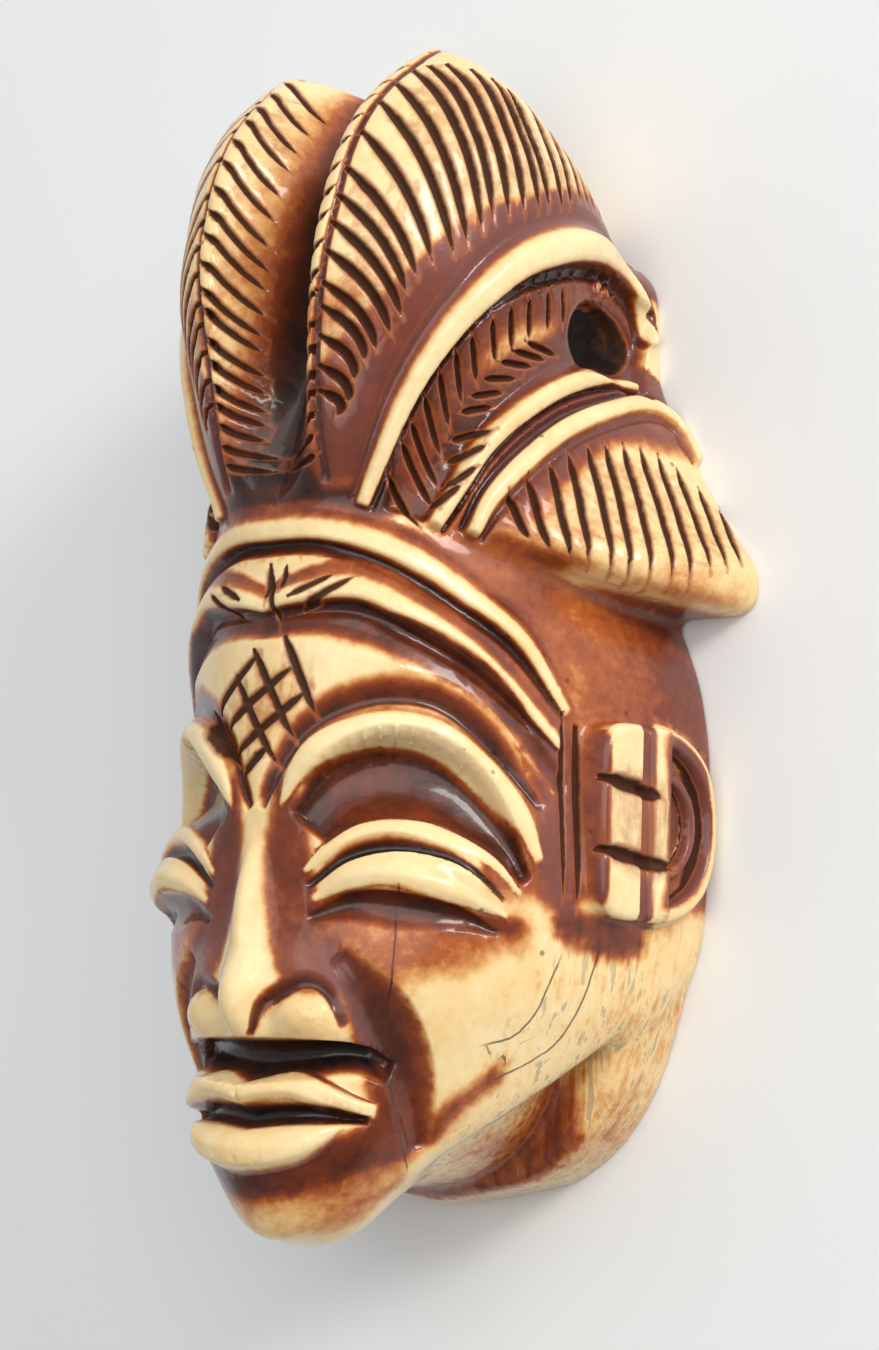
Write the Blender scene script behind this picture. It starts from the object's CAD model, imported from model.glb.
import math

import bpy
import numpy as np
from mathutils import Matrix, Vector


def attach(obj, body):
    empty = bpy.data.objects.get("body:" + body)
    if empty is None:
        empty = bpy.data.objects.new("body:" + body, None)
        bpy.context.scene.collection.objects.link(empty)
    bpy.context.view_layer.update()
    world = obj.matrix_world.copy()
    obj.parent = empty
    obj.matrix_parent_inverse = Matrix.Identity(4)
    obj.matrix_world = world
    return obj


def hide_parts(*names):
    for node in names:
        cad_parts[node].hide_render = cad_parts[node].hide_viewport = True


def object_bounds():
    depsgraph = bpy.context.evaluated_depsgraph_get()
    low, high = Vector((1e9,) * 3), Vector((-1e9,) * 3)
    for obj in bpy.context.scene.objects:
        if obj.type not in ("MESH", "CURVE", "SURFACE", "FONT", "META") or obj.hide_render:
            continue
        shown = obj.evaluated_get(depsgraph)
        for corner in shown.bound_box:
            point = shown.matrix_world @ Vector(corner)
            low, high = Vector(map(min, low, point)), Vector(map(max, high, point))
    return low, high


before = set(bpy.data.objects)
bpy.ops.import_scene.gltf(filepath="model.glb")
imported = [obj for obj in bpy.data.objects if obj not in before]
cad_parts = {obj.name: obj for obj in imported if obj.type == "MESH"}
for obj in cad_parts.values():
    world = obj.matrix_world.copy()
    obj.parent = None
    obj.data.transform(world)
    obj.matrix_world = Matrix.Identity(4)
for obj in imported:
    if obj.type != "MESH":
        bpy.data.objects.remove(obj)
cad_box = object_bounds()

# The view
# The camera looks down on the mask from its left side and a little from the chin, a third of a metre away.
# The picture's frame is not centred on the lens, so a small shift brings the mask to its place.
PICTURE_WIDTH = 879
PICTURE_HEIGHT = 1350
SENSOR_SIZE = 36
VIEW_RISE = math.radians(52.2)
VIEW_TIP = math.radians(-8)
VIEW_ROLL = math.radians(2)
VIEW_DISTANCE = 0.320
VIEW_TARGET = Vector((0, 0.00005, 0.018))
PIXELS_PER_METRE = 10330
TARGET_PIXEL_X = 385.2
TARGET_PIXEL_Y = 649.0

backward = Vector((
    math.cos(VIEW_RISE) * math.cos(VIEW_TIP),
    math.sin(VIEW_TIP),
    math.sin(VIEW_RISE) * math.cos(VIEW_TIP),
))
level_right = Vector((math.sin(VIEW_RISE), 0, -math.cos(VIEW_RISE)))
level_up = backward.cross(level_right)
view_right = math.cos(VIEW_ROLL) * level_right + math.sin(VIEW_ROLL) * level_up
view_up = math.cos(VIEW_ROLL) * level_up - math.sin(VIEW_ROLL) * level_right

camera_data = bpy.data.cameras.new("camera")
camera_data.sensor_width = SENSOR_SIZE
camera_data.lens = SENSOR_SIZE * PIXELS_PER_METRE * VIEW_DISTANCE / PICTURE_HEIGHT
camera_data.shift_x = (PICTURE_WIDTH / 2 - TARGET_PIXEL_X) / PICTURE_HEIGHT
camera_data.shift_y = (TARGET_PIXEL_Y - PICTURE_HEIGHT / 2) / PICTURE_HEIGHT
camera = bpy.data.objects.new("camera", camera_data)
bpy.context.scene.collection.objects.link(camera)
turn = Matrix((view_right, view_up, backward)).transposed().to_4x4()
camera.matrix_world = Matrix.Translation(VIEW_TARGET + VIEW_DISTANCE * backward) @ turn
bpy.context.scene.camera = camera

# The table top
# A pale, matt, faintly cloudy laminate, well larger than the picture, so that no edge of it shows.
TABLE_SIZE = 4.0
TABLE_COLOUR = (0.93, 0.94, 0.925, 1)
TABLE_SHADE = (0.88, 0.89, 0.875, 1)
TABLE_ROUGHNESS = 0.6
CLOUD_SCALE = 6
CLOUD_DETAIL = 3

bpy.ops.object.select_all(action="DESELECT")
bpy.ops.mesh.primitive_plane_add(size=TABLE_SIZE, location=(0, 0, 0))
table = bpy.context.active_object
table.name = "table_top"
table_material = bpy.data.materials.new("pale_laminate")
table_material.use_nodes = True
nodes = table_material.node_tree.nodes
links = table_material.node_tree.links
clouds = nodes.new("ShaderNodeTexNoise")
clouds.inputs["Scale"].default_value = CLOUD_SCALE
clouds.inputs["Detail"].default_value = CLOUD_DETAIL
place = nodes.new("ShaderNodeTexCoord")
links.new(place.outputs["Object"], clouds.inputs["Vector"])
mix = nodes.new("ShaderNodeMix")
mix.data_type = "RGBA"
mix.inputs["A"].default_value = TABLE_COLOUR
mix.inputs["B"].default_value = TABLE_SHADE
links.new(clouds.outputs["Fac"], mix.inputs["Factor"])
links.new(mix.outputs["Result"], nodes["Principled BSDF"].inputs["Base Color"])
nodes["Principled BSDF"].inputs["Roughness"].default_value = TABLE_ROUGHNESS
table.data.materials.append(table_material)

# The daylight
# A wide window stands low to the mask's left and a little towards the crown, and the polish shows its sky.
# A soft skylight stands high on the same side. The room is pale beyond the crown and dim on the chin's side.
WINDOW_AZIMUTH = math.radians(30)
WINDOW_RISE = math.radians(18)
WINDOW_DISTANCE = 1.6
WINDOW_SIZE = (0.36, 0.72)
WINDOW_POWER = 14.5
WINDOW_AIM = (0, 0, 0.02)
WINDOW_COLOUR = (1, 0.98, 0.95)
SKYLIGHT_PLACE = (0.40, 0.16, 0.80)
SKYLIGHT_SIZE = (0.8, 0.8)
SKYLIGHT_POWER = 3.9
SKYLIGHT_AIM = (0, 0, 0)
SKYLIGHT_COLOUR = (1, 0.99, 0.97)
ROOM_COLOUR = (0.90, 0.93, 1, 1)
BRIGHT_SIDE = (-0.45, 0.75, 0.48)
DIM_FROM = -0.7
BRIGHT_FROM = 0.8
ROOM_DIM = 0.15
ROOM_BRIGHT = 0.6


def area_light(name, location, aim, size, power, colour):
    data = bpy.data.lights.new(name, "AREA")
    data.shape = "RECTANGLE"
    data.size, data.size_y = size
    data.energy = power
    data.color = colour
    light = bpy.data.objects.new(name, data)
    bpy.context.scene.collection.objects.link(light)
    light.location = location
    light.rotation_euler = (Vector(aim) - Vector(location)).to_track_quat("-Z", "Y").to_euler()


window_place = WINDOW_DISTANCE * Vector((
    math.cos(WINDOW_RISE) * math.cos(WINDOW_AZIMUTH),
    math.cos(WINDOW_RISE) * math.sin(WINDOW_AZIMUTH),
    math.sin(WINDOW_RISE),
))
area_light("window", window_place, WINDOW_AIM, WINDOW_SIZE, WINDOW_POWER, WINDOW_COLOUR)
area_light("skylight", SKYLIGHT_PLACE, SKYLIGHT_AIM, SKYLIGHT_SIZE, SKYLIGHT_POWER, SKYLIGHT_COLOUR)
room = bpy.data.worlds.new("room")
room.use_nodes = True
nodes = room.node_tree.nodes
links = room.node_tree.links
nodes["Background"].inputs["Color"].default_value = ROOM_COLOUR
looking = nodes.new("ShaderNodeTexCoord")
towards = nodes.new("ShaderNodeVectorMath")
towards.operation = "DOT_PRODUCT"
towards.inputs[1].default_value = BRIGHT_SIDE
links.new(looking.outputs["Generated"], towards.inputs[0])
brightness = nodes.new("ShaderNodeMapRange")
brightness.inputs["From Min"].default_value = DIM_FROM
brightness.inputs["From Max"].default_value = BRIGHT_FROM
brightness.inputs["To Min"].default_value = ROOM_DIM
brightness.inputs["To Max"].default_value = ROOM_BRIGHT
links.new(towards.outputs["Value"], brightness.inputs["Value"])
links.new(brightness.outputs["Result"], nodes["Background"].inputs["Strength"])
bpy.context.scene.world = room
bpy.context.scene.view_settings.view_transform = "Standard"

# The blank of the mask
# One block of bone, shaped to a head with a jutting face, two tall crest lobes, flared sides and a flat back.
# Each form is a distance in millimetres, less than nothing inside, and forms run smoothly into each other.
CROWN_Y = 58.2
LOBE_HALF_WIDTH = 20.2
RIDGE_X = 6.7
SHELL_END_Y = 40.5
FLANGE_END_Y = -53.3
FLANGE_THICKNESS = 8
BUN_UNDERSIDE_Y = 3.8
BUN_HALF_WIDTH = 31.2
HEAD_TOP_Y = 24
HEAD_END_Y = -60
THROAT_Y = -36
THROAT_Z = 7
THROAT_SLOPE = (0.76, 0.65)
NECK_CENTRE = (0, -38, 0)
NECK_RADII = (15, 13.5, 1)
NECK_TOP_Z = 24
VALLEY_END_Y = 10
CURVE_POINTS = 600


def join(a, b, soft):
    h = np.maximum(soft - np.abs(a - b), 0) / soft
    return np.minimum(a, b) - h * h * soft * 0.25


def meet(a, b, soft):
    return -join(-a, -b, soft)


def fade(t):
    t = np.clip(t, 0, 1)
    return t * t * (3 - 2 * t)


def profile(stations):
    """A smooth curve through (place, value) stations that never overshoots them."""
    at, value = np.array(stations, float).T
    step = np.diff(value) / np.diff(at)
    slope = np.zeros(len(at))
    slope[0], slope[-1] = step[0], step[-1]
    same_way = np.nonzero(step[:-1] * step[1:] > 0)[0]
    slope[same_way + 1] = 2 * step[same_way] * step[same_way + 1] / (step[same_way] + step[same_way + 1])
    places = np.linspace(at[0], at[-1], CURVE_POINTS)
    i = np.clip(np.searchsorted(at, places) - 1, 0, len(at) - 2)
    h = np.diff(at)[i]
    s = (places - at[i]) / h
    r = 1 - s
    values = (1 + 2 * s) * r * r * value[i] + s * r * r * h * slope[i]
    values += s * s * (3 - 2 * s) * value[i + 1] - s * s * r * h * slope[i + 1]
    return lambda t: np.interp(t, places, values)


def egg(x, y, z, centre, radii):
    px, py, pz = (x - centre[0]) / radii[0], (y - centre[1]) / radii[1], (z - centre[2]) / radii[2]
    k = np.sqrt(px * px + py * py + pz * pz)
    slope = np.sqrt((px / radii[0]) ** 2 + (py / radii[1]) ** 2 + (pz / radii[2]) ** 2)
    return k * (k - 1) / np.maximum(slope, 1e-6)


def rounded(a, z, width, height, power):
    p = a / width + 1e-6
    q = np.maximum(z, 0) / height + 1e-6
    g = (p**power + q**power) ** (1 / power)
    slope = np.hypot(p ** (power - 1) / width, q ** (power - 1) / height)
    return (g - 1) / np.maximum(slope * g ** (1 - power), 0.02)


head_width = profile([(-60, 5), (-57, 8.5), (-50, 14.6), (-41, 20.8), (-32, 24.6), (-22, 25.8), (-12, 25.8),
                      (-5, 25), (0, 23.6), (4, 21.8), (8, 20.8), (16, 20), (26, 18)])
head_height = profile([(-60, 30), (-57, 32.5), (-50, 35.5), (-41, 36), (-22, 36.5), (-12, 37), (0, 36.5),
                       (8, 35.5), (16, 33), (26, 28)])
head_power = profile([(-50, 2), (-41, 2.1), (-32, 2.2), (-22, 2.1), (-12, 1.85), (-5, 1.93), (0, 2.05),
                      (8, 2.2), (26, 2.1)])
flange_width = profile([(-53, 1.5), (-52, 6.5), (-50.5, 12), (-46, 18), (-39, 22), (-28, 24.8), (-17, 25.7),
                        (-9, 25.4), (-3, 24.2), (2, 22), (5, 21)])
shell_width = profile([(3, 30.8), (7, BUN_HALF_WIDTH), (12, 28.4), (17.5, 24.8), (21, 23), (28.5, 19.4),
                       (36, 19), (40, 17.5)])
shell_height = profile([(3, 32), (7, 34), (14, 34), (21, 32), (31, 29.5), (38, 26)])
shell_power = profile([(3, 1.55), (7, 1.55), (14, 1.65), (21, 1.75), (31, 1.9), (38, 2)])
crest_width = profile([(0, 8), (10, 14.5), (22, 17.2), (28, 19), (33, LOBE_HALF_WIDTH), (40, 20), (44, 19.6),
                       (48, 18.4), (51.5, 16.8), (54.5, 13.8), (58, 9)])
crest_height = profile([(0, 10), (10, 18.8), (22, 23.4), (33, 24.5), (40, 22.6), (44, 19.8), (48, 16),
                        (51.5, 10.6), (54.5, 6), (58, 3)])
crest_middle = profile([(33, 16.5), (40, 17.3), (44, 18.7), (48, 20.3), (51.5, 22.5), (54.5, 23.8),
                        (58, 24.6)])
valley_floor = profile([(10, 36.5), (15, 34), (23, 31.5), (33, 28.5), (43, 25), (51, 20), (59, 11)])
valley_edge = profile([(10, 37), (15, 39), (28, 41), (38, 39.5), (46, 36), (53, 29.5), (59, 18)])


def head_form(a, y, z):
    f = rounded(a, z, head_width(y), head_height(y), head_power(y))
    f = meet(f, y - HEAD_TOP_Y, 6)
    f = meet(f, HEAD_END_Y - y, 5)
    return meet(f, -(y - THROAT_Y) * THROAT_SLOPE[0] - (z - THROAT_Z) * THROAT_SLOPE[1], 3)


def flange_form(a, y, z):
    f = meet(a - flange_width(y), FLANGE_END_Y - y, 3)
    f = meet(f, y - 5, 3)
    return meet(f * 0.9, z - FLANGE_THICKNESS, 3)


def neck_form(a, y, z):
    return meet(egg(a, y, 0, NECK_CENTRE, NECK_RADII), z - NECK_TOP_Z, 2)


def crest_form(a, y, z):
    f = rounded(a, np.abs(z - crest_middle(y)), crest_width(y), crest_height(y), 2.05)
    return meet(meet(f, y - CROWN_Y, 5), -y, 3)


def bun_rise(z):
    """How far the bun's underside has risen towards the front."""
    return (np.maximum(z, 0) / 28) ** 2 * 6.6


def shell_form(a, y, z):
    f = rounded(a, z, shell_width(y), shell_height(y), shell_power(y))
    return meet(meet(f, BUN_UNDERSIDE_Y - y + bun_rise(z), 2.2), y - SHELL_END_Y, 4)


def blank(a, y, z):
    a = np.abs(a)
    f = join(head_form(a, y, z), flange_form(a, y, z), 2)
    f = join(f, neck_form(a, y, z), 1.5)
    f = join(f, crest_form(a, y, z), 2)
    f = join(f, shell_form(a, y, z), 2)
    floor, edge = valley_floor(y), valley_edge(y)
    rise = np.clip((z - floor) / (edge - floor), 0, 1.6)
    flank = np.maximum((a - RIDGE_X * rise**0.8) * 0.75, floor - z)
    return meet(f, -np.maximum(flank, (VALLEY_END_Y - y) * 0.8), 1.2)


# The carver's lines
# A line is laid on the surface through a few points, and a section is cut or left standing along it.
# Offsets across a line count towards the crown where the line runs from the middle to the side.
SETTLE_PASSES = 6
SETTLE_REACH = 3
PROBE = 0.05
SKIN = 1.6
END_FADE = 0.7
LEAST_WIDTH = 0.05
EVEN = ((0, 1), (1, 1))


def gradient(form, p):
    """Slope of a form at each point."""
    parts = []
    for axis in range(3):
        ahead, behind = p.copy(), p.copy()
        ahead[:, axis] += PROBE
        behind[:, axis] -= PROBE
        parts.append((form(*ahead.T) - form(*behind.T)) / (2 * PROBE))
    return np.stack(parts, 1)


def settle(form, p):
    """Points carried onto the surface of a form along its slope."""
    for _ in range(SETTLE_PASSES):
        g = gradient(form, p)
        move = form(*p.T) / np.maximum((g * g).sum(1), 0.1)
        p = p - g * np.clip(move, -SETTLE_REACH, SETTLE_REACH)[:, None]
    return p


def unit(v):
    return v / np.maximum(np.linalg.norm(v, axis=1), 1e-9)[:, None]


def spline(points, steps):
    """A smooth line through the points, with this many steps from each to the next."""
    ends = np.vstack([2 * points[0] - points[1], points, 2 * points[-1] - points[-2]])
    line = []
    for a, b, c, d in zip(ends, ends[1:], ends[2:], ends[3:]):
        for s in np.arange(steps) / steps:
            line.append(0.5 * (2 * b + (c - a) * s + (2 * a - 5 * b + 4 * c - d) * s * s
                               + (3 * b - a - 3 * c + d) * s**3))
    return np.array(line + [points[-1]])


class Carving:
    """Stations of (offset, height) swept along a line on the surface, and of (offset, stain) to paint it."""

    def __init__(self, points, section, width=EVEN, depth=EVEN, paint=None, form=blank, steps=5):
        self.line = spline(settle(form, np.array(points, float)), steps)
        normal = unit(gradient(form, self.line))
        self.side = unit(np.cross(normal, np.gradient(self.line, axis=0)))
        self.section = profile(section)
        self.width = profile(width)
        self.depth = profile(depth)
        self.paint = profile(paint) if paint else None
        offsets = [s[0] for s in section] + [s[0] for s in paint or ()]
        self.low_offset, self.high_offset = min(offsets), max(offsets)
        reach = max(-self.low_offset, self.high_offset) * max(w for _, w in width) + SKIN
        self.low, self.high = self.line.min(0) - reach, self.line.max(0) + reach

    def locate(self, x, y, z):
        """Which points are near the line, their offset across it, share along it and fade past its ends."""
        within = [(v > low) & (v < high) for v, low, high in zip((x, y, z), self.low, self.high)]
        near = np.nonzero(within[0] & within[1] & within[2])[0]
        p = np.stack([x[near], y[near], z[near]], 1)
        best = np.full(len(near), np.inf)
        offset, share, past = np.zeros((3, len(near)))
        last = len(self.line) - 2
        for i in range(last + 1):
            step = self.line[i + 1] - self.line[i]
            length = np.linalg.norm(step)
            q = p - self.line[i]
            t = q @ step / length**2
            inside = np.clip(t, 0, 1)
            q = q - inside[:, None] * step
            e = np.einsum("ij,ij->i", q, q)
            closer = e < best
            best[closer] = e[closer]
            offset[closer] = q[closer] @ self.side[i]
            share[closer] = (i + inside[closer]) / (last + 1)
            over = np.abs(t - inside) * length
            past[closer] = over[closer]
        return near, offset / np.maximum(self.width(share), LEAST_WIDTH), share, fade(1 - past / END_FADE)

    def rise(self, offset, share, end):
        within = (offset > self.low_offset) & (offset < self.high_offset)
        return self.section(offset) * self.depth(share) * end * within


def heights(x, y, z, carvings, deepest=False):
    """Height that carvings add at each point. Crossing strokes go only as deep as the deepest of them."""
    total = np.zeros(len(x))
    if len(x) == 0:
        return total
    low, high = (np.array([f(x), f(y), f(z)]) for f in (np.min, np.max))
    for carving in carvings:
        if (carving.low > high).any() or (carving.high < low).any():
            continue
        near, offset, share, end = carving.locate(x, y, z)
        rise = carving.rise(offset, share, end)
        total[near] = np.minimum(total[near], rise) if deepest else total[near] + rise
    return total


V_CUT = [(-1.25, 0), (-0.95, -0.12), (-0.35, -0.85), (0, -1), (0.35, -0.85), (0.95, -0.12), (1.25, 0)]


def stroke(start, end, half, deep, bend=(0, 0, 0), form=blank, blunt=0.5):
    """A gouge stroke: it goes in fast at its start, and runs out to a point at its end."""
    start, end = np.array(start, float), np.array(end, float)
    points = [start + (end - start) * t + np.array(bend, float) * 4 * t * (1 - t) for t in (0, 0.33, 0.67, 1)]
    section = [(offset * half, height * deep) for offset, height in V_CUT]
    width = [(0, blunt), (0.2, 1), (0.7, 0.9), (1, 0.25)]
    depth = [(0, blunt), (0.15, 1), (0.6, 0.95), (1, 0.1)]
    return Carving(points, section, width, depth, form=form, steps=3)


# The bands of the coiffure
# On each side a broad rim curves from the brow over to the back, with a sunk panel under it.
# Two narrow bands with a dark groove between them follow it and close off the side bun.
RIM = [(9.8, 11, 34.8), (13.7, 19.6, 33.6), (16.8, 27.6, 30.4), (18.9, 33.8, 25.2), (19.6, 37.2, 18.6),
       (19.2, 38.4, 12), (18.8, 37.8, 6.5), (18.8, 35.2, 3), (19.2, 31.6, 1.5)]
PANEL = [(12.6, 10.6, 31.6), (15.6, 17.6, 29.6), (18, 24, 25.7), (19.6, 29.8, 19), (20.2, 31.6, 10.6),
         (20.4, 30, 3)]
OUTER_BAND = [(13.6, 9.6, 28.6), (15.2, 13.6, 27), (16.4, 17.2, 25), (17.8, 20.8, 21.4), (19.2, 24.4, 16),
              (20.2, 26.8, 9.7), (20.8, 27.2, 4.4)]
INNER_BAND = [(16, 9, 26), (17.4, 12.6, 24.8), (18.8, 16.6, 21.4), (20.2, 20.6, 16.4), (21.4, 23.6, 10.5),
              (22, 25.2, 4.8), (22.8, 24, 1), (24.4, 19.8, 0.4)]

panel = Carving(
    PANEL,
    [(-5.2, 0), (-4.3, -1.0), (0, -1.3), (3.4, -1.35), (4.5, -1.0), (5.2, 0)],
    width=[(0, 0.4), (0.25, 0.8), (0.6, 1), (1, 1)],
    paint=[(-5.0, 0.8), (-2, 0.78), (0, 0.66), (2.5, 0.66), (5.0, 0.85)],
)
rim = Carving(
    RIM,
    [(-3.2, 0), (-2.4, -0.6), (-1.8, -0.5), (-1.45, 0.75), (-0.8, 1.2), (0.4, 1.3), (1.3, 1.0), (1.9, 0.1),
     (2.7, -0.35), (4, 0)],
    width=[(0, 0.4), (0.25, 0.75), (0.5, 1.05), (0.66, 0.85), (0.82, 0.5), (1, 0.35)],
    depth=[(0, 0.6), (0.2, 1), (0.6, 0.9), (0.8, 0.6), (1, 0.5)],
    paint=[(-2.6, 0.9), (-1.75, 0.8), (-1.5, 0.5), (-1.2, 0.1), (0, 0.04), (1.4, 0.12), (1.85, 0.5),
           (2.4, 0.76)],
)
outer_band = Carving(
    OUTER_BAND,
    [(-2, 0), (-1.55, -0.9), (-1.25, -0.4), (-1.0, 0.7), (0, 1.05), (0.95, 0.75), (1.35, 0), (2, 0)],
    width=[(0, 0.65), (0.3, 0.9), (0.8, 0.85), (1, 0.4)],
    paint=[(-2, 0.95), (-1.3, 0.95), (-1.1, 0.5), (-0.8, 0.1), (0.8, 0.12), (1.1, 0.45), (1.45, 0.8)],
)
inner_band = Carving(
    INNER_BAND,
    [(-2.4, 0), (-1.6, -0.35), (-1.2, 0), (-0.9, 0.75), (0, 1.05), (0.9, 0.7), (1.2, -0.5), (1.6, -0.7),
     (2.2, 0)],
    width=[(0, 0.65), (0.3, 0.95), (0.7, 0.9), (1, 0.4)],
    paint=[(-1.9, 0.8), (-1.3, 0.62), (-1.05, 0.42), (-0.7, 0.1), (0.8, 0.1), (1.05, 0.5), (1.3, 0.95),
           (2, 0.95)],
)
coiffure_bands = [panel, rim, outer_band, inner_band]

# The headband and the forehead
# Two raised cream bands cross the brow like the edges of overlapping boards, with a brown hollow under each.
HEADBAND_UPPER = [(0, 8.6, 35.8), (5, 8.6, 35.4), (10, 7.4, 33.2), (13, 5.6, 30.2), (16.2, 3, 27),
                  (19.8, -0.8, 22.8), (22.4, -7, 18.8)]
HEADBAND_LOWER = [(0, 1.5, 36.5), (4, 2.5, 35.8), (8.8, 2.8, 33.4), (12.9, 0.6, 30.8), (15.9, -1.6, 28),
                  (18.6, -4.4, 24.9), (22.4, -10.4, 19.4)]
BROW_HOLLOW = [(0, -0.6, 36.6), (4, 0.1, 35.8), (7, 0.1, 34.6), (12, -1.2, 31.6), (16, -3.6, 28),
               (19, -6.8, 24.3), (22.3, -14, 19.4)]
STEP = [(-2.6, 0), (-1.7, -0.5), (-1.2, -0.55), (-0.9, 0.5), (-0.5, 0.85), (0.4, 0.8), (1.2, 0.55),
        (2.4, 0.1), (3.2, 0)]
STEP_PAINT = [(-2.8, 0.72), (-1.7, 0.85), (-1.15, 0.95), (-0.95, 0.5), (-0.7, 0.1), (0.8, 0.1), (1.2, 0.4),
              (1.7, 0.62)]

headbands = [
    Carving(HEADBAND_UPPER, STEP, width=[(0, 0.9), (0.5, 1), (0.85, 0.7), (1, 0.4)],
            depth=[(0, 1), (0.8, 0.9), (1, 0.3)], paint=STEP_PAINT),
    Carving(HEADBAND_LOWER, STEP, width=[(0, 0.6), (0.3, 1), (0.8, 0.7), (1, 0.4)],
            depth=[(0, 0.8), (0.3, 1), (0.8, 0.9), (1, 0.3)], paint=STEP_PAINT),
    Carving(BROW_HOLLOW, [(-2.4, 0), (-1.5, -0.35), (0, -0.75), (0.9, -0.7), (1.8, 0)],
            width=[(0, 0.5), (0.25, 0.9), (0.6, 1.1), (1, 0.5)], depth=[(0, 0.7), (0.5, 1), (1, 0.4)],
            paint=[(-2.0, 0.2), (-1.5, 0.55), (-1.1, 0.72), (1.2, 0.82)]),
]

# The brows and the eye sockets
# A cream arch stands over each eye, with a brown crescent above it and a deep brown socket below.
BROW_CRESCENT = [(0.8, -16.8, 36.7), (2.6, -13.2, 36.6), (4.6, -10.2, 36.2), (7.6, -7.9, 35),
                 (11.5, -6.6, 32.6), (15.4, -7.1, 29.0), (18.6, -10.6, 25.2), (21.2, -16, 21.3)]
BROW_ARCH = [(3, -16.8, 36.4), (4.4, -13.9, 36.1), (6.8, -11.4, 35.2), (11.2, -9.8, 32.8),
             (15.2, -10.4, 29.5), (18.2, -13.2, 26.2), (20.3, -17, 23.2), (21.2, -21, 21.6)]
SOCKET = [(5.6, -18.8, 35.2), (8.6, -15.6, 34.4), (12.4, -14, 32), (16.2, -15.2, 28.6), (18.8, -18.6, 25.6),
          (20.4, -22.8, 22.8)]

eye_hollows = [
    Carving(BROW_CRESCENT, [(-1.3, 0), (-0.95, -0.8), (-0.5, -0.95), (0.5, -0.6), (1.5, -0.2), (2.2, 0)],
            width=[(0, 0.45), (0.25, 0.75), (0.5, 1), (0.8, 0.95), (1, 0.4)],
            depth=[(0, 0.7), (0.5, 1), (0.85, 0.9), (1, 0.3)],
            paint=[(-1.25, 0.5), (-0.95, 0.85), (-0.5, 0.85), (0.8, 0.7), (1.3, 0.5), (1.9, 0.25)]),
    Carving(SOCKET, [(-4.4, 0), (-3.2, -1.4), (-1.2, -2.8), (1.2, -3.0), (2.8, -2.3), (3.7, -0.8), (4.4, 0)],
            width=[(0, 0.6), (0.4, 1), (0.7, 0.7), (1, 0.2)],
            depth=[(0, 0.5), (0.4, 1), (0.8, 0.7), (1, 0.4)],
            paint=[(-4.2, 0.7), (0, 0.82), (3.4, 0.84), (4.0, 0.6)]),
    Carving(BROW_ARCH, [(-2.3, 0), (-1.8, 0.3), (-1.4, 0.95), (0, 1.25), (1.1, 0.9), (1.6, 0.1), (2.2, 0)],
            width=[(0, 0.15), (0.12, 0.6), (0.3, 0.95), (0.5, 1.05), (0.8, 0.85), (1, 0.35)],
            depth=[(0, 0.2), (0.3, 1), (1, 0.3)],
            paint=[(-2.0, 0.62), (-1.7, 0.5), (-1.4, 0.12), (0, 0.05), (1.2, 0.1), (1.5, 0.45)]),
]


# The closed eyes
# A lid swells out of each socket. Two cream bands run along it, and the dark cut between them closes the eye.
LID_TURN = math.radians(38)
LID_X = 12.6
LID_Y = -23.4
LID_Z = 28.4
LID_RADII = (8.8, 4.8, 4.9)
LID_SOFT = 1.2
LID_UPPER = [(5.6, -22.8, 35.7), (7.8, -20.9, 35), (11, -19.3, 33.2), (14.3, -19.3, 30.9),
             (17.6, -21.2, 27.6), (20.6, -24.2, 23.6)]
LID_CUT = [(6.0, -24.2, 35.6), (9.4, -21.6, 34.2), (13, -20.9, 32), (16.4, -22, 29.1), (19.6, -24.8, 25.2)]
LID_LOWER = [(6.6, -25.4, 35.5), (9.8, -23.6, 34.1), (13, -23.2, 32), (16.6, -24.2, 28.8), (20, -26.4, 24.8)]
UNDER_LID = [(6.2, -27.2, 35.4), (9.6, -26, 34.2), (13, -25.8, 32), (16.6, -26.4, 28.8), (19.6, -28, 25.4)]


def lid_form(a, y, z):
    dx, dz = a - LID_X, z - LID_Z
    u = dx * math.cos(LID_TURN) - dz * math.sin(LID_TURN)
    w = dx * math.sin(LID_TURN) + dz * math.cos(LID_TURN)
    return egg(u, y, w, (0, LID_Y, 0), LID_RADII)


def eye_form(a, y, z):
    f = blank(a, y, z) - heights(a, y, z, eye_hollows)
    return join(f, lid_form(a, y, z), LID_SOFT)


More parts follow.
